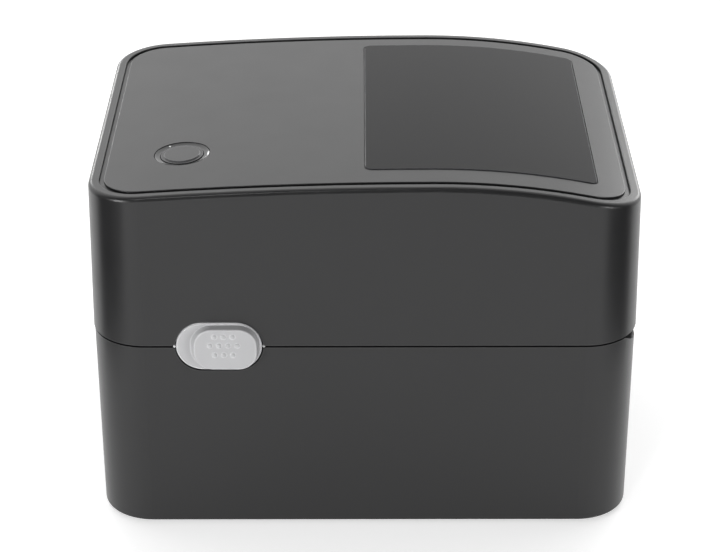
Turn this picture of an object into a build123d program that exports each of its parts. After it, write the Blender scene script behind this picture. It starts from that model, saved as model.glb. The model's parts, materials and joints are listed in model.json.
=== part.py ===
from build123d import *
import math
import os

# Desktop receipt printer for 80 mm rolls, in millimetres.
# X runs along the long side: paper leaves at -X and the lid hinges at +X. Y runs across, Z is up.
# The origin is the middle of the footprint, under the rubber feet.
# Seen from the front (-X), the right side is -Y and the left side is +Y.

# ---- case ----
LENGTH = 215.0
WIDTH = 160.0
HEIGHT = 150.5          # top of the arch
FOOT = 2.0              # height of the feet below the case
SEAM = 83.0             # where lid and base meet
SEAM_GAP = 0.95
SEAM_STEP = 0.35        # the base stands this much inside the lid
CORNER = 21.7
WALL = 2.5
LID_DRAFT = 1.0         # degrees
BASE_DRAFT = 0.15
EDGE_ROUND = 1.8        # top edge of the lid
PEAK_X = 26.5           # where the arched top is highest
FRONT_ARC = 1620.0      # radius of the top ahead of the peak
REAR_ARC = 300.0        # radius of the top behind the peak
TOP_LENGTH = LENGTH - 2.3
TOP_WIDTH = WIDTH - 2.3
TOP_CORNER = CORNER - 1.15

# ---- top panel, window and feed button ----
RIM = 4.1               # rim of the lid around the panel
LEDGE = 1.9             # floor of the groove around the raised panel
LEDGE_DROP = 1.0
RECESS_DROP = 3.3       # floor that the panel and the window rest on
CEILING_DROP = 5.6      # inner side of the lid's top
HAIR_GAP = 0.15
WINDOW_X0 = 0.0
WINDOW_X1 = 89.5
WINDOW_Y0 = -61.7
WINDOW_Y1 = 65.3
WINDOW_GAP = 0.3
WINDOW_CORNER = 3.0
WINDOW_RISE = 0.3       # the window stands proud of the panel
BUTTON_X = -71.5
BUTTON_Y = -40.3
BUTTON_R = 8.3
BUTTON_FACE_R = 7.1
BUTTON_HOLE_R = 11.0
BUTTON_STEP = 0.4       # the rim round the pressed face is lower
RING_EDGE_DROP = 0.25   # outer edge of the light ring under the panel
RING_DROP = 0.7         # and its inner edge
DISH_R = 4.66

# ---- latch buttons ----
LATCH_X = -56.8
LATCH_LENGTH = 33.4
LATCH_HEIGHT = 20.6
LATCH_Z = SEAM + 0.3    # its middle height
LATCH_GAP = 0.5
LATCH_SAG = 0.25        # the opening in the case sits this much lower than the button
LATCH_FACE = WIDTH / 2 + 0.15
PAD_FOOT = (-54.4, 0.3, 27.1, 19.0, 8.6)    # middle along x and above the seam, length, height, corner
PAD_FACE = (-54.15, 0.5, 24.2, 17.5, 7.2)   # the same for its face
PAD_RISE = 3.1
BUMPS_X = -54.8
BUMP_PITCH = 3.53
BUMP_ROWS = ((3, 6.2), (4, 2.4), (3, -1.8))
BUMP_R = 1.05
BUMP_RISE = 0.55
HOOK_TOP = 62.6

# ---- hinge ----
HINGE_X = 103.0
HINGE_Z = SEAM
HINGE_Y = 45.0
KNUCKLE_R = 3.6
PIN_R = 1.5
GUTTER_X = HINGE_X - 6.6        # upstand of the gutter that closes the rear gap from inside
GUTTER_FLOOR = SEAM - 11.0
GUTTER_WALL = 1.6
RUNNING = 0.05          # radial clearance of everything that turns

# ---- printing mechanism ----
PLATEN_X = -88.0
PLATEN_Z = 76.0
PLATEN_R = 8.0
SHAFT_R = 3.0
PRINT_HALF = 42.0       # half of the widest paper's guide width
FRAME_HALF = 48.8       # outer side of the drive frame
SHEET = 1.6
MODULE = 1.0
PRESSURE = math.radians(25)
ADDENDUM = 0.8
DEDENDUM = 1.1
BACKLASH = 0.2
PLATEN_TEETH = 24
IDLER_TEETH = 20
MOTOR_TEETH = 12
GEAR_Y0 = 50.2
GEAR_Y1 = 55.0
IDLER_ANGLE = -60.0     # direction of the idler seen from the platen
HEAD_PIVOT_X = -72.0
HEAD_PIVOT_Z = 92.0
BRACKET_Z = 106.0

# ---- roll well and guides ----
ROLL_X = 17.0
ROLL_Z = 66.0
WELL_R = 50.0
DECK_TOP = 76.5
DECK_SHEET = 2.5
RACK_PINION_X = -45.0
RACK_TEETH = 12
GUIDE_Y = 41.0          # inner face of a roll guide at rest

# ---- sockets in the rear wall ----
BOARD_Z = 9.0
BOARD_T = 1.6
JACK_Y = -5.0
JACK_Z = 16.6
JACK_MOUTH_R = 3.2
JACK_BORE_R = 3.0
JACK_MOUTH_X = 103.0    # where the mouth of the inlet narrows to its bore
USB_Y = -35.0
SWITCH_Y = 35.0
SWITCH_Z = 31.7

parts = {}


# ---- helpers ----
def block(x0, x1, y0, y1, z0, z1):
    return Pos((x0 + x1) / 2, (y0 + y1) / 2, (z0 + z1) / 2) * Box(x1 - x0, y1 - y0, z1 - z0)


def rod_x(y, z, radius, x0, x1):
    return Pos((x0 + x1) / 2, y, z) * Rot(0, 90, 0) * Cylinder(radius, x1 - x0)


def rod_y(x, z, radius, y0, y1):
    return Pos(x, (y0 + y1) / 2, z) * Rot(90, 0, 0) * Cylinder(radius, abs(y1 - y0))


def rod_z(x, y, radius, z0, z1):
    return Pos(x, y, (z0 + z1) / 2) * Cylinder(radius, z1 - z0)


def prism_y(sketch, y0, y1):
    """Extrude a sketch drawn as (x, z) from y0 to y1."""
    side = Plane(origin=(0, y1, 0), x_dir=(1, 0, 0), z_dir=(0, -1, 0))
    return extrude(side * sketch, y1 - y0)


def join(shapes):
    result = shapes[0]
    for shape in shapes[1:]:
        result = result + shape
    return result


def cut(shape, tools):
    for tool in tools:
        shape = shape - tool
    return shape


def group(shapes):
    return Compound(children=[piece for shape in shapes for piece in shape.solids()])


def both_sides(shape):
    """A shape and its mirror image across the printer's middle plane."""
    return shape, mirror(shape, Plane.XZ)


def screw(x, y, seat, length, radius=1.25, down=True):
    """Pan-head screw whose head sits on seat; down means that the head is on top."""
    sign = 1 if down else -1
    head = rod_z(x, y, radius * 2.1, min(seat, seat + sign * 1.7), max(seat, seat + sign * 1.7))
    head = fillet(head.edges().group_by(Axis.Z)[-1 if down else 0], 0.7)
    slot_z = seat + sign * 1.7
    head = head - block(x - 1.9, x + 1.9, y - 0.3, y + 0.3, slot_z - 0.6, slot_z + 0.6)
    head = head - block(x - 0.3, x + 0.3, y - 1.9, y + 1.9, slot_z - 0.6, slot_z + 0.6)
    end = seat - sign * length
    return head + rod_z(x, y, radius, min(seat, end), max(seat, end))


def coil(radius, wire, height, turns):
    """Coil spring along +Z from the origin, with its ends inside the height."""
    path = Helix(pitch=(height - wire) / turns, height=height - wire, radius=radius)
    profile = Plane(origin=path @ 0, z_dir=path % 0) * Circle(wire / 2)
    return Pos(0, 0, wire / 2) * sweep(profile, path=path, is_frenet=True)


def involute(angle):
    return math.tan(angle) - angle


def gear(teeth, phase=0.0):
    """Spur gear outline with a tooth centred at phase degrees."""
    pitch_r = teeth * MODULE / 2
    base_r = pitch_r * math.cos(PRESSURE)
    half_tooth = math.pi / (2 * teeth) - BACKLASH / (4 * pitch_r) + involute(PRESSURE)
    root_r = pitch_r - DEDENDUM * MODULE
    tip_r = pitch_r + ADDENDUM * MODULE
    start_r = max(root_r, base_r)
    flank = [root_r] if root_r < base_r else []
    flank += [start_r + (tip_r - start_r) * step / 4 for step in range(5)]
    points = []
    for tooth in range(teeth):
        middle = math.radians(phase) + 2 * math.pi * tooth / teeth
        for side, radii in ((-1, flank), (1, flank[::-1])):
            for r in radii:
                lean = half_tooth - involute(math.acos(min(1.0, base_r / r)))
                points.append((r * math.cos(middle + side * lean), r * math.sin(middle + side * lean)))
    return make_face(Polyline(*points, close=True))


def meshed_phase(teeth_a, phase_a, direction, teeth_b):
    """Phase of gear b so that it meshes with gear a, which sees it at direction degrees."""
    offset = (direction - phase_a) % (360 / teeth_a)
    return direction + 180 + offset * teeth_a / teeth_b + 180 / teeth_b


# ---- outlines of the case ----
def arch_z(x, drop=0.0):
    radius = FRONT_ARC if x < PEAK_X else REAR_ARC
    return HEIGHT - radius + math.sqrt((radius - drop) ** 2 - (x - PEAK_X) ** 2)


def under_arch(drop, low):
    """Side view of everything below the arched top, lowered by drop, and above low."""
    reach = LENGTH / 2 + 10
    points = [(x, arch_z(x, drop)) for x in (-reach, (PEAK_X - reach) / 2, PEAK_X, (PEAK_X + reach) / 2, reach)]
    front = ThreePointArc(*points[:3])
    rear = ThreePointArc(*points[2:])
    rest = Polyline(points[4], (reach, low), (-reach, low), points[0])
    return make_face([front, rear, rest])


def case_outline(inset):
    return RectangleRounded(LENGTH - 2 * inset, WIDTH - 2 * inset, CORNER - inset)


def top_outline(inset):
    return RectangleRounded(TOP_LENGTH - 2 * inset, TOP_WIDTH - 2 * inset, TOP_CORNER - inset)


def inset_of(x, y):
    """How far a point of the top lies inside its rounded outline."""
    dx = abs(x) - TOP_LENGTH / 2 + TOP_CORNER
    dy = abs(y) - TOP_WIDTH / 2 + TOP_CORNER
    return TOP_CORNER - math.hypot(max(dx, 0), max(dy, 0)) - min(max(dx, dy), 0)


def lid_block(inset, low, drop):
    walls = extrude(Pos(0, 0, SEAM) * case_outline(inset), HEIGHT - SEAM + 5, taper=LID_DRAFT)
    return walls & prism_y(under_arch(drop, low), -WIDTH, WIDTH)


def base_block(inset, low):
    top = Plane(origin=(0, 0, SEAM - SEAM_GAP / 2), x_dir=(1, 0, 0), z_dir=(0, 0, -1))
    return extrude(top * case_outline(SEAM_STEP + inset), SEAM - SEAM_GAP / 2 - low, taper=BASE_DRAFT)


def top_layer(inset, upper_drop, lower_drop):
    """Slab of the top that follows the arch between two depths."""
    column = extrude(Pos(0, 0, HEIGHT - 35) * top_outline(inset), 45)
    layer = column & prism_y(under_arch(upper_drop, SEAM), -WIDTH, WIDTH)
    return layer - prism_y(under_arch(lower_drop, SEAM - 5), -WIDTH, WIDTH)


def top_edges(shape, inset, drop=0.0):
    """Edges that run round the top, at an inset from its outline."""
    found = []
    for edge in shape.edges():
        p = edge @ 0.5
        on_top = abs(p.Z - arch_z(p.X, drop)) < 0.05
        if on_top and abs(inset_of(p.X, p.Y) - inset) < 0.6 and edge.length > 6:
            found.append(edge)
    return found


def latch_slot(grow, y0, y1):
    slot = Pos(LATCH_X, LATCH_Z) * SlotOverall(LATCH_LENGTH + 2 * grow, LATCH_HEIGHT + 2 * grow)
    return prism_y(slot, y0, y1)


def window_block(grow, z0, z1):
    middle = Pos((WINDOW_X0 + WINDOW_X1) / 2, (WINDOW_Y0 + WINDOW_Y1) / 2, z0)
    length = WINDOW_X1 - WINDOW_X0 + 2 * grow
    width = WINDOW_Y1 - WINDOW_Y0 + 2 * grow
    return extrude(middle * RectangleRounded(length, width, WINDOW_CORNER + grow), z1 - z0)


def knuckles(lid):
    """Hinge barrels with their webs: one per hinge on the lid, two per hinge on the base."""
    spans = ((-4.6, 4.6),) if lid else ((-12.0, -5.0), (5.0, 12.0))
    web_z = (HINGE_Z, HINGE_Z + 9) if lid else (HINGE_Z - 9, HINGE_Z)
    pieces = []
    for hinge in (-HINGE_Y, HINGE_Y):
        for y0, y1 in spans:
            pieces.append(rod_y(HINGE_X, HINGE_Z, KNUCKLE_R, hinge + y0, hinge + y1))
            pieces.append(block(HINGE_X - KNUCKLE_R, HINGE_X + KNUCKLE_R, hinge + y0, hinge + y1, *web_z))
    return pieces


POST_FOOT = 14.0        # standoffs of the deck stand on bosses of this height
POST_HEAD = 128.0       # standoffs of the head bracket hang from bosses that end here
STUD_R = 2.0
DECK_POSTS = [(x, y) for x in (-50.0, 86.0) for y in (-62.0, 62.0)]
FRAME_POSTS = [(x, y) for x in (-94.0, -65.0) for y in (-40.0, 40.0)]
BOARD_POSTS = [(x, y) for x in (31.0, 76.0) for y in (-52.0, 52.0)]
FEET = [(x, y) for x in (-86.0, 86.0) for y in (-58.0, 58.0)]
BRACKET_POSTS = [(-96.0, -43.0), (-96.0, 43.0), (-70.0, 43.0), (-70.0, -12.0)]
KEY_POSTS = [(BUTTON_X + dx, BUTTON_Y + dy) for dx, dy in ((-12.5, -12.5), (12.5, 12.5))]


def hinge_relief():
    """Space for the lid's rear edge, which dips below the seam as it turns; it tapers into the corners."""
    straight = WIDTH / 2 - CORNER
    edge = []
    for y in (50.0, straight, 61.0, 64.0, 66.5, 68.5, 70.0, 71.2, 72.2, 73.5):
        overhang = LENGTH / 2 - CORNER + math.sqrt(CORNER ** 2 - max(y - straight, 0) ** 2) - HINGE_X
        edge.append((y, SEAM - 0.9 - max(overhang, -0.9)))
    points = [(-73.5, SEAM + 1), (73.5, SEAM + 1), *edge[::-1], *[(-y, z) for y, z in edge]]
    side = Plane(origin=(HINGE_X - 4.5, 0, 0), x_dir=(0, 1, 0), z_dir=(1, 0, 0))
    return extrude(side * make_face(Polyline(*points, close=True)), 12)


def latch_openings():
    """Openings in both sides of the case for the latch buttons."""
    return [Pos(0, 0, -LATCH_SAG) * latch_slot(LATCH_GAP, y, y + 15) for y in (70, -85)]


EAR_R = 0.5
EARS = [LATCH_X + side * (LATCH_LENGTH / 2 + LATCH_GAP + 0.2) for side in (-1, 1)]


def latch_notches():
    """Rounded ends of the seam beside the latch buttons, where the ears of the buttons slide."""
    return [rod_y(x, SEAM, EAR_R + 0.35, y0, y1) for x in EARS for y0, y1 in ((72, 85), (-85, -72))]


def standoff(x, y, low, high, stud):
    """Hexagonal threaded pillar with its stud at the low or the high end."""
    pillar = extrude(Pos(x, y, low) * RegularPolygon(4.04, 6), high - low)
    if stud == "low":
        return pillar + rod_z(x, y, STUD_R, low - 7, low) - rod_z(x, y, 1.25, high - 14, high + 1)
    return pillar + rod_z(x, y, STUD_R, high, high + 6) - rod_z(x, y, 1.25, low - 1, low + 12)


# ---- case: base ----
def base_shell():
    floor = FOOT + 3.0
    outer = base_block(0, FOOT)
    outer = fillet(outer.faces().sort_by(Axis.Z)[0].edges(), 1.0)
    shell = outer - base_block(WALL, floor)
    tongue = extrude(Pos(0, 0, SEAM - 6) * case_outline(SEAM_STEP + WALL), 7.8)
    tongue = tongue - extrude(Pos(0, 0, SEAM - 7) * case_outline(SEAM_STEP + WALL + 1.5), 10)
    tongue = tongue - block(88, 110, -80, 80, SEAM - 8, SEAM + 4)
    tongue = tongue - block(LATCH_X - 23, LATCH_X + 23, -80, 80, SEAM - 8, SEAM + 4)
    tongue = tongue - block(-110, -95, -45, 45, SEAM - 8, SEAM + 4)
    ledges = both_sides(block(LATCH_X - 9, LATCH_X + 9, 75.3, 78.0, HOOK_TOP + 0.4, HOOK_TOP + 3.4))
    posts = [rod_z(x, y, 4.5, floor - 1, POST_FOOT) for x, y in DECK_POSTS]
    posts += [rod_z(x, y, 3.5, floor - 1, 20.0) for x, y in FRAME_POSTS]
    posts += [rod_z(x, y, 3.0, floor - 1, BOARD_Z) for x, y in BOARD_POSTS]
    shell = shell - hinge_relief()
    gutter = [block(GUTTER_X, HINGE_X + 2.2, -66, 66, GUTTER_FLOOR, GUTTER_FLOOR + GUTTER_WALL)]
    gutter.append(block(GUTTER_X, GUTTER_X + GUTTER_WALL, -66, 66, GUTTER_FLOOR, SEAM + 7))
    shell = join([shell, tongue, *ledges, *posts, *gutter, *knuckles(lid=False)])
    tools = [*latch_openings(), *latch_notches()]
    tools.append(block(-112, -95, -43, 43, 80.5, SEAM + 1))
    tools.append(rod_y(HINGE_X, HINGE_Z, PIN_R, -HINGE_Y - 13, -HINGE_Y + 13))
    tools.append(rod_y(HINGE_X, HINGE_Z, PIN_R, HINGE_Y - 13, HINGE_Y + 13))
    tools += [rod_z(x, y, STUD_R, POST_FOOT - 7, POST_FOOT + 1) for x, y in DECK_POSTS]
    tools += [rod_z(x, y, 1.25, 9, 21) for x, y in FRAME_POSTS]
    tools += [rod_z(x, y, 1.25, 5.5, 12) for x, y in BOARD_POSTS]
    tools += [rod_z(x, y, 7.0, 0, FOOT + 0.8) for x, y in FEET]
    tools.append(rod_x(JACK_Y, JACK_Z, 4.7, 100, 112))
    tools.append(block(100, 112, USB_Y - 6.3, USB_Y + 6.3, 10.4, 22.0))
    tools.append(block(100, 112, SWITCH_Y - 6.6, SWITCH_Y + 6.6, SWITCH_Z - 9.8, SWITCH_Z + 9.8))
    tools.append(block(106.0, 112, SWITCH_Y - 8.1, SWITCH_Y + 8.1, SWITCH_Z - 11.1, SWITCH_Z + 11.1))
    for row in range(6):
        tools.append(block(-20 + 9 * row, -17 + 9 * row, -22, 22, 0, floor + 1))
    return cut(shell, tools)


def rubber_feet():
    feet = []
    for x, y in FEET:
        foot = rod_z(x, y, 6.8, 0, FOOT + 0.8)
        feet.append(chamfer(foot.edges().group_by(Axis.Z)[0], 0.6))
    return group(feet)


def hinge_pins():
    return group([rod_y(HINGE_X, HINGE_Z, PIN_R, y - 12, y + 12) for y in (-HINGE_Y, HINGE_Y)])


# ---- case: lid ----
def lid_shell():
    body = lid_block(0, SEAM + SEAM_GAP / 2, 0)
    body = fillet(top_edges(body, 0), EDGE_ROUND)
    body = body - top_layer(RIM, -5, RECESS_DROP)
    body = fillet(top_edges(body, RIM), 0.35)
    body = body - lid_block(WALL, SEAM - 5, CEILING_DROP)
    posts = [rod_z(x, y, 4.5, POST_HEAD, arch_z(x) - CEILING_DROP + 1) for x, y in BRACKET_POSTS]
    posts += [rod_z(x, y, 3.0, 132, arch_z(x) - CEILING_DROP + 1) for x, y in KEY_POSTS]
    seats = both_sides(block(LATCH_X - 7, LATCH_X + 7, 62, 64, 86, arch_z(LATCH_X) - CEILING_DROP + 1))
    body = join([body, *posts, *seats, *knuckles(lid=True)])
    tools = [*latch_openings(), *latch_notches()]
    tools.append(block(-112, -95, -43, 43, SEAM - 1, 87.2))
    tools.append(rod_y(HINGE_X, HINGE_Z, PIN_R + RUNNING, -60, 60))
    for hinge in (-HINGE_Y, HINGE_Y):
        for y0, y1 in ((-12.4, -4.6), (4.6, 12.4)):
            tools.append(block(HINGE_X - 4.5, HINGE_X + 6, hinge + y0, hinge + y1, SEAM - 1, SEAM + 4.3))
    tools += [rod_z(x, y, STUD_R, POST_HEAD - 1, POST_HEAD + 6) for x, y in BRACKET_POSTS]
    tools += [rod_z(x, y, 1.0, 131, 138) for x, y in KEY_POSTS]
    tools.append(window_block(-2.4, 120, 160))
    tools.append(rod_z(BUTTON_X, BUTTON_Y, BUTTON_R + 0.3, 136, 160))
    return cut(body, tools)


def top_panel():
    ledge = top_layer(RIM + HAIR_GAP, LEDGE_DROP, RECESS_DROP - 0.05)
    raised = top_layer(RIM + LEDGE, 0, RECESS_DROP - 0.05)
    raised = fillet(top_edges(raised, RIM + LEDGE), 0.3)
    panel = ledge + raised
    panel = panel - window_block(WINDOW_GAP, 120, 160)
    return panel - rod_z(BUTTON_X, BUTTON_Y, BUTTON_HOLE_R, 136, 160)


def window():
    lens = window_block(0, 120, 160) & prism_y(under_arch(-WINDOW_RISE, SEAM), -WIDTH, WIDTH)
    lens = lens - prism_y(under_arch(RECESS_DROP - 0.05, SEAM - 5), -WIDTH, WIDTH)
    rim = [edge for edge in lens.edges() if abs((edge @ 0.5).Z - arch_z((edge @ 0.5).X, -WINDOW_RISE)) < 0.05]
    return chamfer(rim, 0.3)


def key_top(drop):
    """Everything under the arch, lowered by drop, around the feed button."""
    return prism_y(under_arch(drop, SEAM), BUTTON_Y - 15, BUTTON_Y + 15)


def tilted(shape):
    """Lean a shape at the feed button with the slope of the top there."""
    lean = -math.degrees(math.asin((PEAK_X - BUTTON_X) / FRONT_ARC))
    return Pos(BUTTON_X, BUTTON_Y, arch_z(BUTTON_X)) * Rot(0, lean, 0) * shape


def light_ring():
    """Clear ring round the feed button, dished down towards the cap."""
    ring = Pos(0, 0, -RING_EDGE_DROP - 2.5) * Cylinder(BUTTON_HOLE_R - 0.25, 5)
    ring = tilted(ring - Pos(0, 0, DISH_R - RING_DROP) * Torus(BUTTON_R + 0.3, DISH_R))
    ring = ring - prism_y(under_arch(RECESS_DROP - 0.05, SEAM - 5), -WIDTH, WIDTH)
    return ring - rod_z(BUTTON_X, BUTTON_Y, BUTTON_R + 0.3, 130, 160)


def feed_button():
    cap = rod_z(BUTTON_X, BUTTON_Y, BUTTON_R, 139.5, 155) & key_top(BUTTON_STEP)
    face = rod_z(BUTTON_X, BUTTON_Y, BUTTON_FACE_R, 142, 155) & key_top(0)
    face = chamfer(face.edges().group_by(Axis.Z)[-1], 0.15)
    cap = cap + face
    flange = rod_z(BUTTON_X, BUTTON_Y, 10.2, 139.5, 140.7)
    stem = rod_z(BUTTON_X, BUTTON_Y, 2.5, 138.0, 140)
    return join([cap, flange, stem])


def button_board():
    x, y = BUTTON_X, BUTTON_Y
    board = block(x - 16.5, x + 16.5, y - 16, y + 16, 130.4, 132)
    return cut(board, [rod_z(px, py, 1.2, 130, 133) for px, py in KEY_POSTS])


def button_board_screws():
    return group([screw(x, y, 130.4, 6, 1.0, down=False) for x, y in KEY_POSTS])


def tact_switch():
    x, y = BUTTON_X, BUTTON_Y
    return block(x - 3, x + 3, y - 3, y + 3, 132, 135.6) + rod_z(x, y, 1.75, 135.6, 137.0)


# ---- latch buttons ----
def latch_button():
    """The left latch: a slotted face across the seam, a raised pad, and the hook arm behind it."""
    face = latch_slot(0, 76.6, LATCH_FACE)
    face = chamfer(face.faces().sort_by(Axis.Y)[-1].edges(), 0.4)
    pad_face = LATCH_FACE + PAD_RISE
    outlines = []
    for (middle, rise, length, height, corner), y in ((PAD_FOOT, LATCH_FACE - 0.1), (PAD_FACE, pad_face)):
        side = Plane(origin=(0, y, 0), x_dir=(-1, 0, 0), z_dir=(0, 1, 0))
        outlines.append(side * (Pos(-middle, SEAM + rise) * RectangleRounded(length, height, corner)))
    pad = loft(outlines)
    pad = fillet(pad.faces().sort_by(Axis.Y)[-1].edges(), 0.5)
    shapes = [face, pad]
    ball_r = (BUMP_R ** 2 + BUMP_RISE ** 2) / (2 * BUMP_RISE)
    for count, height in BUMP_ROWS:
        for column in range(count):
            x = BUMPS_X + BUMP_PITCH * (column - (count - 1) / 2)
            ball = Pos(x, pad_face + BUMP_RISE - ball_r, SEAM + height) * Sphere(ball_r)
            shapes.append(ball & block(x - 2, x + 2, pad_face - 0.1, pad_face + 2, SEAM - 9, SEAM + 9))
    shapes.append(block(LATCH_X - 19.5, LATCH_X + 19.5, 74.6, 76.8, SEAM + 1.2, SEAM + 11))
    for x in EARS:
        shapes.append(block(x - EAR_R, x + EAR_R, 74.8, 76.7, SEAM - EAR_R, SEAM + 2))
        shapes.append(rod_y(x, SEAM, EAR_R, 76.6, 79.5))
    shapes.append(block(LATCH_X - 5, LATCH_X + 5, 72.6, 75.0, HOOK_TOP - 5, SEAM + 11))
    shapes.append(block(LATCH_X - 5, LATCH_X + 5, 72.6, 76.6, HOOK_TOP - 5, HOOK_TOP))
    return join(shapes)


def latch_spring():
    return Pos(LATCH_X, 64, SEAM + 6.5) * Rot(-90, 0, 0) * coil(3.4, 0.5, 8.6, 5)


# ---- drive frame, platen and gears ----
GEAR_GAP = 0.05
IDLER_REACH = (PLATEN_TEETH + IDLER_TEETH) * MODULE / 2 + GEAR_GAP
IDLER_X = PLATEN_X + IDLER_REACH * math.cos(math.radians(IDLER_ANGLE))
IDLER_Z = PLATEN_Z + IDLER_REACH * math.sin(math.radians(IDLER_ANGLE))
MOTOR_X = IDLER_X
MOTOR_Z = IDLER_Z - (IDLER_TEETH + MOTOR_TEETH) * MODULE / 2 - GEAR_GAP
IDLER_PHASE = meshed_phase(PLATEN_TEETH, 0, IDLER_ANGLE, IDLER_TEETH)
MOTOR_PHASE = meshed_phase(IDLER_TEETH, IDLER_PHASE, -90, MOTOR_TEETH)
MOTOR_R = 17.5
MOTOR_SCREWS = [(MOTOR_X - 12, MOTOR_Z - 8), (MOTOR_X + 12, MOTOR_Z - 8)]


def drive_frame():
    inner = FRAME_HALF - SHEET
    frame = block(-100, -60, -FRAME_HALF, FRAME_HALF, 20, 86) - block(-101, -59, -inner, inner, 20 + SHEET, 87)
    tools = [rod_y(PLATEN_X, PLATEN_Z, 5.5, -60, 60)]
    tools.append(rod_y(IDLER_X, IDLER_Z, 2.0, 40, 60))
    tools.append(rod_y(MOTOR_X, MOTOR_Z, 5.0, 40, 60))
    tools += [rod_y(x, z, 1.3, 40, 60) for x, z in MOTOR_SCREWS]
    tools += [rod_z(x, y, 1.5, 19, 22) for x, y in FRAME_POSTS]
    tools.append(block(-88, -67, -28, 28, 19, 22))
    return cut(frame, tools)


def frame_screws():
    return group([screw(x, y, 20 + SHEET, 9) for x, y in FRAME_POSTS])


def platen_bearings():
    bush = rod_y(PLATEN_X, PLATEN_Z, 5.5, FRAME_HALF - SHEET, FRAME_HALF + 0.8)
    bush = bush + rod_y(PLATEN_X, PLATEN_Z, 7.0, FRAME_HALF - SHEET - 1.2, FRAME_HALF - SHEET)
    bush = bush - rod_y(PLATEN_X, PLATEN_Z, SHAFT_R + RUNNING, 40, 55)
    return group(both_sides(bush))


def platen_shaft():
    shaft = rod_y(PLATEN_X, PLATEN_Z, SHAFT_R, -51.5, 56.5)
    return chamfer(shaft.edges().filter_by(GeomType.CIRCLE), 0.4)


def platen_rubber():
    sleeve = rod_y(PLATEN_X, PLATEN_Z, PLATEN_R, -PRINT_HALF, PRINT_HALF)
    return sleeve - rod_y(PLATEN_X, PLATEN_Z, SHAFT_R, -50, 50)


def spur_gear(x, z, teeth, phase, bore, web_r):
    wheel = Pos(x, 0, z) * prism_y(gear(teeth, phase), GEAR_Y0, GEAR_Y1)
    if web_r:
        ring = rod_y(x, z, web_r, GEAR_Y1 - 1.2, GEAR_Y1 + 1) - rod_y(x, z, bore + 2.0, GEAR_Y0, GEAR_Y1 + 2)
        wheel = wheel - ring
    return wheel - rod_y(x, z, bore, 40, 60)


def idler_axle():
    return rod_y(IDLER_X, IDLER_Z, 2.0, FRAME_HALF - SHEET, 56.2) + rod_y(IDLER_X, IDLER_Z, 3.2, 55.3, 56.2)


def motor_can():
    front = FRAME_HALF - SHEET
    can = rod_y(MOTOR_X, MOTOR_Z, MOTOR_R, 24, front)
    can = fillet(can.edges().group_by(Axis.Y)[0], 1.5)
    can = can + rod_y(MOTOR_X, MOTOR_Z, 4.9, front, FRAME_HALF)
    tools = [rod_y(MOTOR_X, MOTOR_Z, 1.5 + RUNNING, 26, 60)]
    tools += [rod_y(x, z, 1.3, 40, 60) for x, z in MOTOR_SCREWS]
    return cut(can, tools)


def motor_screws():
    screws = []
    for x, z in MOTOR_SCREWS:
        screws.append(Pos(x, FRAME_HALF, z) * Rot(-90, 0, 0) * screw(0, 0, 0, 6, 1.3))
    return group(screws)


def tear_bar():
    """Serrated steel strip behind the paper slot."""
    points = [(-PRINT_HALF - 1, 74.0)]
    for tooth in range(56):
        y = -PRINT_HALF + 1.5 * tooth
        points += [(y, 80.7), (y + 0.75, 81.8)]
    points += [(PRINT_HALF + 1, 80.7), (PRINT_HALF + 1, 74.0)]
    front = Plane(origin=(-104.4, 0, 0), x_dir=(0, 1, 0), z_dir=(1, 0, 0))
    return extrude(front * make_face(Polyline(*points, close=True)), 0.8)


def paper_guide():
    """Ribbed plate that carries the paper from the roll well to the platen."""
    half = FRAME_HALF - SHEET
    plate = block(-78, -60, -half, half, 78.5, 80.2)
    ribs = [block(-77, -60, y - 0.6, y + 0.6, 80.1, 81.2) for y in range(-40, 41, 10) if abs(y) > 7]
    return join([plate, *ribs]) - block(-73, -65, -7, 7, 78, 83)


def gap_sensor():
    return block(-72.8, -65.2, -6.8, 6.8, 75.5, 81.0) + rod_z(-69, 0, 1.5, 80.5, 81.4)


# ---- print head ----
def head_bracket():
    inner = FRAME_HALF - 0.8 - SHEET
    outer = FRAME_HALF - 0.8
    web = block(-101, -66, -outer, outer, BRACKET_Z, BRACKET_Z + SHEET)
    cheeks = both_sides(block(-79, -66, inner, outer, 88, BRACKET_Z + 0.5))
    tools = [rod_y(HEAD_PIVOT_X, HEAD_PIVOT_Z, 2.0, -60, 60)]
    tools += [rod_z(x, y, 1.5, 100, 110) for x, y in BRACKET_POSTS]
    return cut(join([web, *cheeks]), tools)


def bracket_screws():
    return group([screw(x, y, BRACKET_Z, 10, down=False) for x, y in BRACKET_POSTS])


def head_pivot_pin():
    return rod_y(HEAD_PIVOT_X, HEAD_PIVOT_Z, 2.0, -49.2, 49.2)


def heat_sink():
    sink = block(-100, -78, -44, 44, 86.4, 96)
    lugs = both_sides(block(-79, -68, 38, 44, 88, 96))
    tools = [block(-101, -77, y - 1.5, y + 1.5, 90.5, 97) for y in range(-38, 39, 6) if abs(abs(y) - 26) > 5]
    tools.append(rod_y(HEAD_PIVOT_X, HEAD_PIVOT_Z, 2.0 + RUNNING, -60, 60))
    return cut(join([sink, *lugs]), tools)


def print_head():
    return block(-99.6, -79, -43, 43, 84.9, 86.4) + block(PLATEN_X - 1.2, PLATEN_X + 1.2, -41, 41, 84.3, 85.0)


def head_connector():
    return block(-82.5, -78.6, -15, 15, 82.0, 84.9) - block(-79.6, -78, -13.5, 13.5, 82.8, 84.2)


def head_springs():
    spring = Pos(-90, 26, 96) * coil(3.6, 0.7, BRACKET_Z - 96, 4)
    return group(both_sides(spring))


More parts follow.
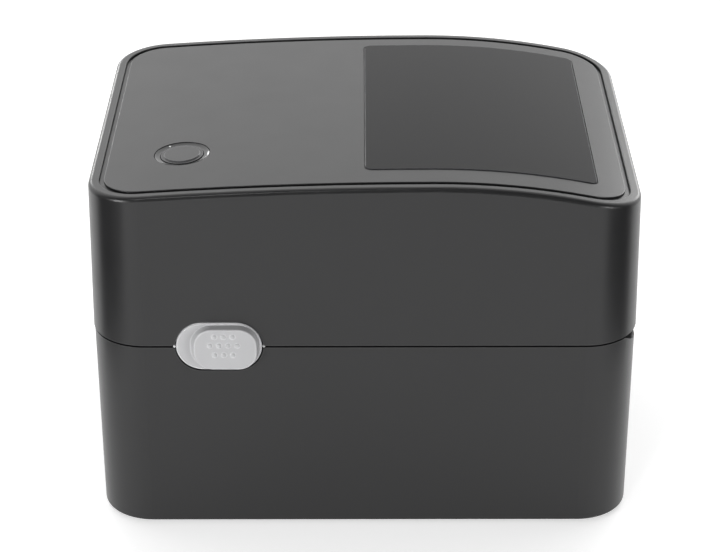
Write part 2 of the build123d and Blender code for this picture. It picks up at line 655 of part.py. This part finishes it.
# ---- roll well and guides ----
def inner_deck():
    top = DECK_TOP
    plate = block(-58, 92, -68, 68, top - DECK_SHEET, top)
    well = rod_y(ROLL_X, ROLL_Z, WELL_R + DECK_SHEET, -56, 56) - block(-60, 110, -70, 70, top, 130)
    inside = rod_y(ROLL_X, ROLL_Z, WELL_R, -53.5, 53.5)
    deck = (plate + well) - inside
    ribs = [block(-33.5, -32.2, -50, 50, top - 1, top + 2.6), block(-58, -56.4, -50, 50, top - 1, top + 2.6)]
    boss = rod_z(RACK_PINION_X, 0, 2.0, top - 1, top + 3.9)
    deck = join([deck, *ribs, boss])
    tools = [rod_z(x, y, 1.5, 70, 80) for x, y in DECK_POSTS]
    tools.append(rod_z(RACK_PINION_X, 0, 1.0, top - 1.5, top + 5))
    tools.append(inside & block(-34, 110, -53.5, 53.5, 60, 90))
    return cut(deck, tools)


def deck_screws():
    return group([screw(x, y, DECK_TOP, 10) for x, y in DECK_POSTS])


def guide_pinion():
    wheel = extrude(Pos(RACK_PINION_X, 0, DECK_TOP + 0.6) * gear(RACK_TEETH), 3.0)
    return wheel - rod_z(RACK_PINION_X, 0, 2.0 + RUNNING, 70, 90)


def guide_screw():
    return screw(RACK_PINION_X, 0, DECK_TOP + 3.9, 4.5, 1.0)


def roll_guide(side):
    """Roll guide with its rack: side +1 is the left guide, whose rack lies behind the pinion."""
    z0, z1 = DECK_TOP + 0.6, DECK_TOP + 3.6
    pitch_x = RACK_PINION_X + side * RACK_TEETH * MODULE / 2
    root_x = pitch_x + side * DEDENDUM
    back_x = pitch_x + side * 5.0
    end_y = side * (GUIDE_Y + 4.4)
    near_y = -side * 7.0
    x_low, x_high = min(root_x, back_x), max(root_x, back_x)
    y_low, y_high = min(near_y, end_y), max(near_y, end_y)
    shapes = [block(x_low, x_high, y_low, y_high, z0, z1)]
    pitch = math.pi * MODULE
    half = pitch / 4 - BACKLASH / 4
    root_half = half + DEDENDUM * math.tan(PRESSURE)
    tip_half = half - ADDENDUM * math.tan(PRESSURE)
    tip_x = pitch_x - side * ADDENDUM
    for tooth in range(-2, 11):
        y = side * (tooth + 0.5) * pitch
        corners = [(root_x + side * 0.1, y - root_half), (root_x + side * 0.1, y + root_half),
                   (tip_x, y + tip_half), (tip_x, y - tip_half)]
        shapes.append(extrude(Pos(0, 0, z0) * make_face(Polyline(*corners, close=True)), z1 - z0))
    riser_y = sorted((side * (GUIDE_Y + 0.4), end_y))
    arm_x0 = min(back_x, root_x)
    shapes.append(block(arm_x0, max(back_x, root_x), *riser_y, z0, z1 + 3.2))
    shapes.append(block(arm_x0, -24, *riser_y, z1 + 0.4, z1 + 3.2))
    profile = make_hull((Pos(ROLL_X, ROLL_Z) * Circle(26)).edges() + (Pos(-24, 82.5) * Circle(3.5)).edges())
    plate_y = sorted((side * GUIDE_Y, side * (GUIDE_Y + 2.4)))
    shapes.append(prism_y(profile, *plate_y))
    return join(shapes) - rod_y(ROLL_X, ROLL_Z, 4.0 + RUNNING, -60, 60)


def roll_hub():
    """Left hub: it fills the end of the roll's core and turns in its guide."""
    hub = rod_y(ROLL_X, ROLL_Z, 11.5, GUIDE_Y - 8.3, GUIDE_Y - 0.3)
    hub = chamfer(hub.edges().group_by(Axis.Y)[0], 1.5)
    stub = rod_y(ROLL_X, ROLL_Z, 4.0, GUIDE_Y - 1, GUIDE_Y + 3)
    flange = rod_y(ROLL_X, ROLL_Z, 6.0, GUIDE_Y + 2.7, GUIDE_Y + 4.0)
    grooves = [Pos(ROLL_X, GUIDE_Y - 5, ROLL_Z) * Rot(0, angle, 0) * Pos(0, 0, 11.5) * Box(2, 8, 2)
               for angle in range(0, 360, 60)]
    return cut(join([hub, stub, flange]), grooves)


# ---- electronics ----
def main_board():
    board = block(26, 99, -57, 57, BOARD_Z, BOARD_Z + BOARD_T)
    return cut(board, [rod_z(x, y, 1.5, 8, 12) for x, y in BOARD_POSTS])


def board_screws():
    return group([screw(x, y, BOARD_Z + BOARD_T, 4.5) for x, y in BOARD_POSTS])


def board_chips():
    top = BOARD_Z + BOARD_T
    chips = [block(70, 84, -20, -6, top, top + 1.4), block(72, 80, 10, 18, top, top + 1.2)]
    chips += [block(40 + 9 * n, 45 + 9 * n, 30, 36, top, top + 1.2) for n in range(3)]
    return group(chips)


def capacitors():
    top = BOARD_Z + BOARD_T
    cans = []
    for x, y, radius, height in ((78, 34, 5, 13), (90, 20, 4, 11), (90, 52, 4, 11)):
        can = rod_z(x, y, radius, top, top + height)
        cans.append(fillet(can.edges().group_by(Axis.Z)[-1], 0.6))
    return group(cans)


def board_connectors():
    top = BOARD_Z + BOARD_T
    sockets = []
    for y in (-30, -12, 6):
        sockets.append(block(28, 33, y, y + 12, top, top + 3.0) - block(27, 32, y + 1, y + 11, top + 1, top + 4))
    return group(sockets)


def power_jack():
    top = BOARD_Z + BOARD_T
    jack = block(93, 103.5, JACK_Y - 4.5, JACK_Y + 4.5, top, top + 11) + rod_x(JACK_Y, JACK_Z, 4.5, 103, 106.8)
    bore = rod_x(JACK_Y, JACK_Z, JACK_BORE_R, 96, JACK_MOUTH_X) + rod_x(JACK_Y, JACK_Z, JACK_MOUTH_R, JACK_MOUTH_X, 108)
    return jack - bore


def jack_pin():
    pin = rod_x(JACK_Y, JACK_Z, 1.2, 96, JACK_MOUTH_X - 0.5)
    return fillet(pin.edges().group_by(Axis.X)[-1], 0.6)


def data_socket():
    top = BOARD_Z + BOARD_T
    shell = block(91, 106.6, USB_Y - 6.0, USB_Y + 6.0, top, top + 11)
    return shell - block(93, 107, USB_Y - 5.3, USB_Y + 5.3, top + 0.7, top + 10.3)


def data_tongue():
    top = BOARD_Z + BOARD_T
    return block(93, 102, USB_Y - 2.8, USB_Y + 2.8, top + 4.0, top + 7.2)


def switch_housing():
    y, z = SWITCH_Y, SWITCH_Z
    body = block(91, 106.2, y - 6.4, y + 6.4, z - 9.6, z + 9.6)
    body = body + block(106.1, 107.0, y - 7.9, y + 7.9, z - 10.9, z + 10.9)
    body = body - block(98, 108, y - 5.3, y + 5.3, z - 8.7, z + 8.7)
    return body - rod_y(103.5, z, 1.0 + RUNNING, y - 6.2, y + 6.2)


def power_rocker():
    outline = Polyline((-2, -7.6), (2.5, -7.6), (1.5, 0), (2.5, 7.6), (-2, 7.6), (-3, 0), close=True)
    rocker = prism_y(make_face(outline), -5.0, 5.0) + rod_y(0, 0, 1.0, -6.0, 6.0)
    return Pos(103.5, SWITCH_Y, SWITCH_Z) * Rot(0, -7, 0) * rocker


# ---- cables held inside ----
def motor_cable():
    """Lead from the motor to the main board, held under the roll well."""
    route = [(MOTOR_X, 23.9, 34), (MOTOR_X, 13, 33.4), (-76.5, 3, 27), (-74.5, -3, 17), (-65, -8, 8.5),
             (-48, -13, 7.2), (-28, -18, 7.0), (-8, -19, 7.6), (11, -13, 9.8), (28, -6, 12.8)]
    points = [Vector(*p) for p in route]
    radii = []
    for a, b, c in zip(points, points[1:], points[2:]):
        turn = math.radians((b - a).get_angle(c - b))
        radii.append(0.45 * min((b - a).length, (c - b).length) / math.tan(turn / 2))
    print("motor cable radii", [round(r, 1) for r in radii])
    path = FilletPolyline(*route, radius=radii)
    profile = Plane(origin=path @ 0, z_dir=path % 0) * Circle(1.1)
    return sweep(profile, path=path)


# ---- everything, by node name ----
parts["base_shell"] = base_shell()
parts["rubber_feet"] = rubber_feet()
parts["hinge_pins"] = hinge_pins()
parts["deck_posts"] = group([standoff(x, y, POST_FOOT, DECK_TOP - DECK_SHEET, "low") for x, y in DECK_POSTS])
parts["inner_deck"] = inner_deck()
parts["deck_screws"] = deck_screws()
parts["drive_frame"] = drive_frame()
parts["frame_screws"] = frame_screws()
parts["platen_bearings"] = platen_bearings()
parts["idler_axle"] = idler_axle()
parts["motor_can"] = motor_can()
parts["motor_screws"] = motor_screws()
parts["motor_cable"] = motor_cable()
parts["tear_bar"] = tear_bar()
parts["paper_guide"] = paper_guide()
parts["gap_sensor"] = gap_sensor()
parts["guide_screw"] = guide_screw()
parts["main_board"] = main_board()
parts["board_screws"] = board_screws()
parts["board_chips"] = board_chips()
parts["capacitors"] = capacitors()
parts["board_connectors"] = board_connectors()
parts["power_jack"] = power_jack()
parts["jack_pin"] = jack_pin()
parts["data_socket"] = data_socket()
parts["data_tongue"] = data_tongue()
parts["switch_housing"] = switch_housing()
parts["power_rocker"] = power_rocker()
parts["platen_shaft"] = platen_shaft()
parts["platen_rubber"] = platen_rubber()
parts["platen_gear"] = spur_gear(PLATEN_X, PLATEN_Z, PLATEN_TEETH, 0, SHAFT_R, 9.0)
parts["idler_gear"] = spur_gear(IDLER_X, IDLER_Z, IDLER_TEETH, IDLER_PHASE, 2.0 + RUNNING, 7.0)
parts["motor_shaft"] = rod_y(MOTOR_X, MOTOR_Z, 1.5, 28, 57)
parts["motor_pinion"] = spur_gear(MOTOR_X, MOTOR_Z, MOTOR_TEETH, MOTOR_PHASE, 1.5, 0)
parts["guide_pinion"] = guide_pinion()
parts["roll_guide_left"] = roll_guide(1)
parts["roll_guide_right"] = roll_guide(-1)
parts["roll_hub_left"], parts["roll_hub_right"] = both_sides(roll_hub())
parts["lid_shell"] = lid_shell()
parts["top_panel"] = top_panel()
parts["window"] = window()
parts["light_ring"] = light_ring()
parts["feed_button"] = feed_button()
parts["button_board"] = button_board()
parts["button_board_screws"] = button_board_screws()
parts["tact_switch"] = tact_switch()
parts["latch_left"], parts["latch_right"] = both_sides(latch_button())
parts["latch_spring_left"], parts["latch_spring_right"] = both_sides(latch_spring())
parts["head_bracket"] = head_bracket()
parts["bracket_posts"] = group([standoff(x, y, BRACKET_Z + SHEET, POST_HEAD, "high") for x, y in BRACKET_POSTS])
parts["bracket_screws"] = bracket_screws()
parts["head_pivot_pin"] = head_pivot_pin()
parts["heat_sink"] = heat_sink()
parts["print_head"] = print_head()
parts["head_connector"] = head_connector()
parts["head_springs"] = head_springs()

os.makedirs("parts", exist_ok=True)
for name, shape in parts.items():
    export_step(shape, "parts/" + name + ".step")
    box = shape.bounding_box()
    print(name, [round(v, 2) for v in (*box.min, *box.max)])
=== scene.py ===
import json
import math

import bmesh
import bpy
from mathutils import Matrix, Vector


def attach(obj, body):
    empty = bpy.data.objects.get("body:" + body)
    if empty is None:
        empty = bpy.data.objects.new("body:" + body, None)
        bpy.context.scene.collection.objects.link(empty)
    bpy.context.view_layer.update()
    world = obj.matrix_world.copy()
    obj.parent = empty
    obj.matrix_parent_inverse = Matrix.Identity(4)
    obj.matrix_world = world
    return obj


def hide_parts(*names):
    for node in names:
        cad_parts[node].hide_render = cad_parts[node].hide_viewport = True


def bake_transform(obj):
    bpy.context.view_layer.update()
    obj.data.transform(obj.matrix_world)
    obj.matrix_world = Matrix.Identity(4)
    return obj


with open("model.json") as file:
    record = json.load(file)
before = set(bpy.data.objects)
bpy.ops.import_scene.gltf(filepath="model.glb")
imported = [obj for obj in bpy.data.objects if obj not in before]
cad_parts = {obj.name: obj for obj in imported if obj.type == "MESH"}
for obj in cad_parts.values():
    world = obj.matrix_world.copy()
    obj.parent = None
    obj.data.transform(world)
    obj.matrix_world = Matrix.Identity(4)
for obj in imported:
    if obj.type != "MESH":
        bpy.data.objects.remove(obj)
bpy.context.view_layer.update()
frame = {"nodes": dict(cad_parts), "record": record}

MM = 0.001
CASE = (0.013, 0.013, 0.0135)  # base colour of the dark grey case
nodes = frame["nodes"]
scene = bpy.context.scene
scene.view_settings.view_transform = "Standard"


# ---- camera: a long lens, above and square to the long side ----
CAMERA_PLACE = (-0.0013, -0.84277, 0.51323)
CAMERA_PITCH, CAMERA_YAW, CAMERA_ROLL = 27.62, -0.046, -0.087  # degrees
FOCAL_LENGTH = 112.56  # mm, on a sensor 36 mm wide


def make_camera():
    data = bpy.data.cameras.new("camera")
    data.lens = FOCAL_LENGTH
    data.sensor_width = 36.0
    data.clip_start = 0.05
    camera = bpy.data.objects.new("camera", data)
    scene.collection.objects.link(camera)
    pitch, yaw, roll = (math.radians(a) for a in (CAMERA_PITCH, CAMERA_YAW, CAMERA_ROLL))
    turn = Matrix.Rotation(-yaw, 4, "Z") @ Matrix.Rotation(math.pi / 2 - pitch, 4, "X")
    turn = turn @ Matrix.Rotation(roll, 4, "Z")
    camera.matrix_world = Matrix.Translation(CAMERA_PLACE) @ turn
    scene.camera = camera


# ---- node material helpers ----
RANGE_SOCKETS = ("From Min", "From Max", "To Min", "To Max")


class Mat:
    """A principled material with short helpers for its node tree."""

    def __init__(self, name, color, roughness, metallic=0.0, specular=0.5, **sockets):
        self.material = bpy.data.materials.new(name)
        self.material.use_nodes = True
        self.tree = self.material.node_tree
        self.shader = self.tree.nodes["Principled BSDF"]
        self.color = tuple(color)
        self.shader.inputs["Base Color"].default_value = (*color, 1)
        self.shader.inputs["Roughness"].default_value = roughness
        self.shader.inputs["Metallic"].default_value = metallic
        self.shader.inputs["Specular IOR Level"].default_value = specular
        for key, value in sockets.items():
            self.shader.inputs[key.replace("_", " ")].default_value = value
        self.place = self.tree.nodes.new("ShaderNodeTexCoord").outputs["Object"]

    def node(self, kind, **values):
        made = self.tree.nodes.new("ShaderNode" + kind)
        for key, value in values.items():
            if hasattr(made, key):
                setattr(made, key, value)
            else:
                made.inputs[key.replace("_", " ")].default_value = value
        return made

    def link(self, out, into):
        self.tree.links.new(out, into)

    def stretched(self, scale):
        """Object coordinates stretched per axis, for brushed or grooved finishes."""
        mapping = self.node("Mapping")
        mapping.inputs["Scale"].default_value = scale
        self.link(self.place, mapping.inputs["Vector"])
        return mapping.outputs["Vector"]

    def noise(self, scale, detail=2.0, roughness=0.5, place=None):
        made = self.node("TexNoise", Scale=scale, Detail=detail, Roughness=roughness)
        self.link(place or self.place, made.inputs["Vector"])
        return made.outputs["Fac"]

    def cells(self, scale):
        made = self.node("TexVoronoi", feature="F1", Scale=scale)
        self.link(self.place, made.inputs["Vector"])
        return made.outputs["Distance"]

    def ramp(self, value, low, high, out_low=0.0, out_high=1.0):
        made = self.node("MapRange")
        for socket, number in zip(RANGE_SOCKETS, (low, high, out_low, out_high)):
            made.inputs[socket].default_value = number
        self.link(value, made.inputs["Value"])
        return made.outputs["Result"]

    def tint(self, value, dark, light, low=0.3, high=0.7):
        """Colour between two multiples of the base colour."""
        mix = self.node("Mix", data_type="RGBA")
        mix.inputs[6].default_value = (*[c * dark for c in self.color], 1)
        mix.inputs[7].default_value = (*[c * light for c in self.color], 1)
        self.link(self.ramp(value, low, high), mix.inputs[0])
        self.link(mix.outputs[2], self.shader.inputs["Base Color"])
        return mix.outputs[2]

    def rough(self, value, low, high):
        self.link(self.ramp(value, 0.3, 0.7, low, high), self.shader.inputs["Roughness"])

    def bump(self, value, strength, distance, previous=None):
        made = self.node("Bump", Strength=strength, Distance=distance)
        self.link(value, made.inputs["Height"])
        if previous:
            self.link(previous, made.inputs["Normal"])
        self.link(made.outputs["Normal"], self.shader.inputs["Normal"])
        return made.outputs["Normal"]

    def paint_edge_glint(self, base, amount, size=0.0006):
        """Painted highlight: lighter colour along the edges as a bright rim line, broken up by noise."""
        bevel = self.node("Bevel", samples=4, Radius=size)
        geometry = self.node("NewGeometry")
        dot = self.node("VectorMath", operation="DOT_PRODUCT")
        self.link(bevel.outputs["Normal"], dot.inputs[0])
        self.link(geometry.outputs["Normal"], dot.inputs[1])
        edge = self.ramp(dot.outputs["Value"], 0.997, 0.9)
        broken = self.node("Math", operation="MULTIPLY")
        self.link(edge, broken.inputs[0])
        self.link(self.ramp(self.noise(700, 3), 0.3, 0.7, 0.6, 1.0), broken.inputs[1])
        mix = self.node("Mix", data_type="RGBA")
        mix.inputs[7].default_value = (*[min(1, c * amount) for c in self.color], 1)
        self.link(base, mix.inputs[6])
        self.link(broken.outputs["Value"], mix.inputs[0])
        self.link(mix.outputs[2], self.shader.inputs["Base Color"])


def moulded(name, color, roughness, grain=5000.0, depth=0.00003, spread=0.02, specular=0.5, rim_shine=3.5,
             shine_band=0.0006):
    """Satin moulded plastic: spark-eroded grain, faint flow marks and a painted highlight on the edges.
    """
    m = Mat(name, color, roughness, specular=specular)
    base = m.tint(m.noise(22, 4), 0.97, 1.03)
    # painted highlight: the edges are coloured lighter, as bright rim lines
    if rim_shine:
        m.paint_edge_glint(base, rim_shine, shine_band)
    m.rough(m.noise(60, 5, 0.6), roughness - spread, roughness + spread)
    fine = m.bump(m.noise(grain, 3, 0.7), 0.35, depth)
    m.bump(m.noise(90, 2), 0.04, 0.0001, fine)
    return m.material


def brushed(name, color, roughness, stretch, depth=0.00002):
    """Metal sheet or rod with fine lines along one direction and faint stains."""
    m = Mat(name, color, roughness, metallic=1.0)
    lines = m.noise(1.0, 3, 0.6, m.stretched(stretch))
    m.tint(m.noise(35, 5), 0.82, 1.1)
    m.rough(lines, roughness - 0.08, roughness + 0.1)
    m.bump(lines, 0.4, depth)
    return m.material


def spangled(name, color, roughness):
    """Zinc-plated sheet: large soft crystal patches under a fine grain."""
    m = Mat(name, color, roughness, metallic=1.0)
    m.tint(m.cells(260), 0.8, 1.12, 0.0, 0.6)
    m.rough(m.noise(120, 4), roughness - 0.07, roughness + 0.09)
    m.bump(m.noise(3000, 2), 0.25, 0.00002)
    return m.material


def circuit(name):
    """Solder-masked board with tracks showing through as fine straight steps."""
    m = Mat(name, (0.012, 0.11, 0.05), 0.28, specular=0.5, Coat_Weight=0.35)
    tracks = m.node("TexBrick", offset=0.5, Scale=1.0, Mortar_Size=0.012)
    tracks.inputs["Brick Width"].default_value = 0.7
    tracks.inputs["Row Height"].default_value = 0.25
    m.link(m.stretched((320, 320, 320)), tracks.inputs["Vector"])
    m.tint(tracks.outputs["Fac"], 1.0, 1.9, 0.2, 0.8)
    m.rough(m.noise(300, 3), 0.22, 0.36)
    m.bump(tracks.outputs["Fac"], 0.5, 0.00004)
    return m.material


TO_BUTTON = (0.0715, 0.0403, 0.0)  # brings the feed button's axis to the texture's origin


def light_guide(name):
    """Dark grey light ring, polished, with the fine turned lines of its mould."""
    m = Mat(name, (0.03, 0.03, 0.031), 0.13, specular=0.5)
    mapping = m.node("Mapping")
    mapping.inputs["Location"].default_value = TO_BUTTON
    m.link(m.place, mapping.inputs["Vector"])
    rings = m.node("TexWave", wave_type="RINGS", rings_direction="Z", Scale=620.0, Distortion=0.0)
    m.link(mapping.outputs["Vector"], rings.inputs["Vector"])
    m.tint(m.noise(200, 3), 0.9, 1.1)
    m.rough(m.noise(400, 3), 0.11, 0.16)
    m.bump(rings.outputs["Fac"], 0.3, 0.00003)
    return m.material


def smoked(name):
    """Smoked clear plastic, polished, with a few hair scratches in the gloss and a painted highlight on
    its edges.
    """
    m = Mat(name, (0.012, 0.012, 0.013), 0.1, specular=0.5, IOR=1.17, Transmission_Weight=0.4)
    # painted highlight: the window's edges are coloured much lighter, as bright outline lines
    m.paint_edge_glint(m.tint(m.noise(30, 3), 0.95, 1.05), 14, 0.0005)
    scratches = m.noise(1.0, 4, 0.7, m.stretched((40, 900, 40)))
    m.rough(scratches, 0.09, 0.16)
    m.bump(m.noise(30, 2), 0.05, 0.0002)
    return m.material


# the edge amounts below set a painted highlight: how much lighter each plastic's edges are coloured
MATERIALS = {
    "case_plastic": moulded("case_plastic", CASE, 0.32, specular=0.42),
    "deck_plastic": moulded("deck_plastic", (0.03, 0.03, 0.032), 0.5, grain=3500, depth=0.00006),
    "latch_plastic": moulded("latch_plastic", (0.385, 0.385, 0.393), 0.3, grain=6000, depth=0.00002,
                             spread=0.03, rim_shine=1.8, shine_band=0.0008),
    "button_plastic": moulded("button_plastic", (0.02, 0.02, 0.021), 0.3, grain=7000, depth=0.00002,
                              specular=0.42, rim_shine=9),
    "light_guide": light_guide("light_guide"),
    "rubber": moulded("rubber", (0.018, 0.018, 0.018), 0.72, grain=2500, depth=0.00008,
                      spread=0.08, specular=0.3, rim_shine=0),
    "sheet_steel": spangled("sheet_steel", (0.56, 0.57, 0.58), 0.36),
    "bright_steel": brushed("bright_steel", (0.62, 0.62, 0.63), 0.24, stretch=(3000, 60, 3000)),
    "screw_steel": brushed("screw_steel", (0.32, 0.32, 0.33), 0.34, stretch=(2500, 2500, 200)),
    "gear_plastic": moulded("gear_plastic", (0.72, 0.7, 0.64), 0.4, grain=4500, spread=0.05, rim_shine=0),
    "circuit_board": circuit("circuit_board"),
    "chip_plastic": moulded("chip_plastic", (0.02, 0.02, 0.021), 0.42),
    "socket_plastic": moulded("socket_plastic", (0.74, 0.72, 0.66), 0.42, depth=0.00002,
                              spread=0.05, rim_shine=0),
    "aluminium": brushed("aluminium", (0.72, 0.72, 0.74), 0.36, stretch=(60, 2500, 2500)),
    "head_ceramic": moulded("head_ceramic", (0.66, 0.62, 0.54), 0.2, grain=6000, depth=0.00001,
                            spread=0.04, rim_shine=0),
    "cable_jacket": moulded("cable_jacket", (0.03, 0.03, 0.03), 0.45, grain=2500, depth=0.00004,
                            spread=0.05, rim_shine=0),
    "bushing": moulded("bushing", (0.06, 0.06, 0.06), 0.4, grain=4000, spread=0.05, rim_shine=0),
    "smoked_window": smoked("smoked_window"),
}


def paint_nodes():
    """Give every carried-over CAD node the material of its slot in the record."""
    for part in frame["record"]["subparts"]:
        mesh = nodes[part["node"]].data
        mesh.materials.clear()
        mesh.materials.append(MATERIALS[part["material_slot"]])


def dome(name, radius, height, turns=24, rows=6):
    """Small spherical cap, point up, with its foot closed."""
    made = bmesh.new()
    rings = []
    for row in range(rows):
        lean = math.pi / 2 * row / rows
        spread, rise = radius * math.cos(lean), height * math.sin(lean)
        steps = [2 * math.pi * step / turns for step in range(turns)]
        rings.append([made.verts.new((spread * math.cos(a), spread * math.sin(a), rise)) for a in steps])
    for low, high in zip(rings, rings[1:]):
        for step in range(turns):
            after = (step + 1) % turns
            made.faces.new((low[step], low[after], high[after], high[step]))
    tip = made.verts.new((0, 0, height))
    for step in range(turns):
        made.faces.new((rings[-1][step], rings[-1][(step + 1) % turns], tip))
    made.faces.new(rings[0][::-1])
    mesh = bpy.data.meshes.new(name)
    made.to_mesh(mesh)
    made.free()
    for face in mesh.polygons:
        face.use_smooth = True
    obj = bpy.data.objects.new(name, mesh)
    scene.collection.objects.link(obj)
    return obj


# place and size of the glowing lens that paints a glint dot on the ring
GLINT_PLACE = (-0.07685, -0.03197)
GLINT_RADIUS, GLINT_HEIGHT = 0.45 * MM, 0.3 * MM
GLINT_SINK = 0.05 * MM  # how deep its foot goes into the ring


def glint_lens():
    """White lens standing on the far left of the light ring, part of the lid; its glow is a painted
    highlight, a small bright glint dot.
    """
    above = (*GLINT_PLACE, 0.2)
    point, normal = nodes["light_ring"].ray_cast(above, (0, 0, -1))[1:3]
    lens = dome("glint_lens", GLINT_RADIUS, GLINT_HEIGHT)
    lens.matrix_world = Matrix.Translation(point - normal * GLINT_SINK)
    # painted highlight: the lens glows white to make a glint dot
    m = Mat("glint_lens_glow", (0.6, 0.63, 0.6), 0.2, specular=0.5, Emission_Strength=0.25)
    m.shader.inputs["Emission Color"].default_value = (1, 1, 1, 1)
    m.tint(m.noise(900, 2), 0.9, 1.1)
    m.rough(m.noise(1500, 2), 0.15, 0.25)
    m.bump(m.noise(3000, 2), 0.2, 0.00002)
    lens.data.materials.append(m.material)
    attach(lens, "lid")


# ---- coil springs in place of CAD spring nodes ----
def coil_tube(made, foot, axis, length, radius, wire, turns, sides=8, steps=24):
    """Round wire (wire is its radius) wound about an axis from foot, as a closed tube."""
    axis = Vector(axis)
    across = axis.orthogonal().normalized()
    beside = axis.cross(across)
    rings = []
    count = int(turns * steps)
    for step in range(count + 1):
        angle = 2 * math.pi * step / steps
        out = across * math.cos(angle) + beside * math.sin(angle)
        middle = Vector(foot) + axis * (wire + (length - 2 * wire) * step / count) + out * radius
        ring = []
        for side in range(sides):
            lean = 2 * math.pi * side / sides
            ring.append(made.verts.new(middle + (out * math.cos(lean) + axis * math.sin(lean)) * wire))
        rings.append(ring)
    for low, high in zip(rings, rings[1:]):
        for side in range(sides):
            after = (side + 1) % sides
            made.faces.new((low[side], low[after], high[after], high[side]))
    made.faces.new(rings[0][::-1])
    made.faces.new(rings[-1])


def spring(name, node, feet, axis, length, radius, wire, turns):
    """Coil springs in place of a CAD node."""
    made = bmesh.new()
    for foot in feet:
        coil_tube(made, foot, axis, length, radius, wire, turns)
    bmesh.ops.recalc_face_normals(made, faces=made.faces)
    mesh = bpy.data.meshes.new(name)
    made.to_mesh(mesh)
    made.free()
    for face in mesh.polygons:
        face.use_smooth = True
    mesh.materials.append(MATERIALS["bright_steel"])
    obj = bpy.data.objects.new(name, mesh)
    scene.collection.objects.link(obj)
    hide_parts(node)
    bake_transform(obj)


def make_springs():
    x, y, z = -0.0568, 0.064, 0.0895
    for side, name, body in ((1, "left", "latch_l"), (-1, "right", "latch_r")):
        foot = (x, side * y, z)
        spring("coil_latch_" + name, "latch_spring_" + name, [foot], axis=(0, side, 0),
               length=8.6 * MM, radius=3.4 * MM, wire=0.25 * MM, turns=5)
    feet = [(-0.09, y, 0.096) for y in (-0.026, 0.026)]
    spring("coil_head", "head_springs", feet, axis=(0, 0, 1),
           length=10 * MM, radius=3.6 * MM, wire=0.35 * MM, turns=4)


# ---- studio ----
def floor_material():
    """White paper sweep, lit a little from below as on a light table."""
    m = Mat("floor", (0.8, 0.8, 0.8), 0.7, specular=0.1, Emission_Strength=0.52)
    m.shader.inputs["Emission Color"].default_value = (1, 1, 1, 1)
    m.tint(m.noise(3, 3), 0.99, 1.01)
    return m.material


def make_plane(name, size_x, size_y, place, material):
    mesh = bpy.data.meshes.new(name)
    x, y = size_x / 2, size_y / 2
    mesh.from_pydata([(-x, -y, 0), (x, -y, 0), (x, y, 0), (-x, y, 0)], [], [(0, 1, 2, 3)])
    mesh.materials.append(material)
    obj = bpy.data.objects.new(name, mesh)
    obj.matrix_world = place
    scene.collection.objects.link(obj)
    return obj


def area_light(name, place, aim_height, size, power):
    """Square soft light aimed at the object's axis."""
    data = bpy.data.lights.new(name, "AREA")
    data.energy = power
    data.size = size
    obj = bpy.data.objects.new(name, data)
    obj.location = place
    aim = Vector((0, 0, aim_height)) - Vector(place)
    obj.rotation_euler = aim.to_track_quat("-Z", "Y").to_euler()
    scene.collection.objects.link(obj)


ROOM_TO, WALL_FROM = -0.25, 0.6  # Y of the directions where the room ends and the wall begins
ROOM_LIGHT, WALL_LIGHT = 0.1, 1.54


def make_world():
    """Bright wall behind the object and a darker room in front of it."""
    world = bpy.data.worlds.new("studio")
    world.use_nodes = True
    tree = world.node_tree
    background = tree.nodes["Background"]
    place = tree.nodes.new("ShaderNodeTexCoord")
    split = tree.nodes.new("ShaderNodeSeparateXYZ")
    tree.links.new(place.outputs["Generated"], split.inputs["Vector"])
    ramp = tree.nodes.new("ShaderNodeMapRange")
    ramp.interpolation_type = "SMOOTHSTEP"
    for socket, number in zip(RANGE_SOCKETS, (ROOM_TO, WALL_FROM, ROOM_LIGHT, WALL_LIGHT)):
        ramp.inputs[socket].default_value = number
    tree.links.new(split.outputs["Y"], ramp.inputs["Value"])
    tree.links.new(ramp.outputs["Result"], background.inputs["Strength"])
    background.inputs["Color"].default_value = (1, 1, 1, 1)
    scene.world = world


FLAG_X, FLAG_Y = 0.24, -0.14
FLAG_HEIGHT, FLAG_LENGTH = 0.16, 0.22


def flag(name, x):
    """Black card beside the object: only reflections see it, as a photographer's edge flag."""
    m = Mat(name, (0.01, 0.01, 0.01), 0.9, specular=0.0)
    m.tint(m.noise(3, 3), 0.9, 1.1)
    place = Matrix.Translation((x, FLAG_Y, FLAG_HEIGHT / 2)) @ Matrix.Rotation(math.radians(90), 4, "Y")
    card = make_plane(name, FLAG_HEIGHT, FLAG_LENGTH, place, m.material)
    card.visible_camera = False
    card.visible_diffuse = False
    card.visible_shadow = False
    card.visible_transmission = False


FLOOR_SIZE, FLOOR_Z = 8, -0.0002
LIGHTS = (  # name, place, height of the aim, size in metres, power in watts
    ("key_left", (-1.1, -1.0, 0.32), 0.08, 0.4, 12),
    ("key_right", (1.1, -1.0, 0.32), 0.08, 0.4, 7),
    ("back_left", (-0.64, 1.32, 0.46), 0.14, 0.2, 2.0),
    ("edge_light", (-0.3, -0.95, 1.35), 0.1, 0.12, 2.5),
    ("back_right", (0.85, 1.3, 0.5), 0.14, 0.5, 4),
)


def make_studio():
    make_world()
    make_plane("floor", FLOOR_SIZE, FLOOR_SIZE, Matrix.Translation((0, 0, FLOOR_Z)), floor_material())
    flag("flag_left", -FLAG_X)
    flag("flag_right", FLAG_X)
    for light in LIGHTS:
        area_light(*light)


make_camera()
paint_nodes()
glint_lens()
make_springs()
make_studio()
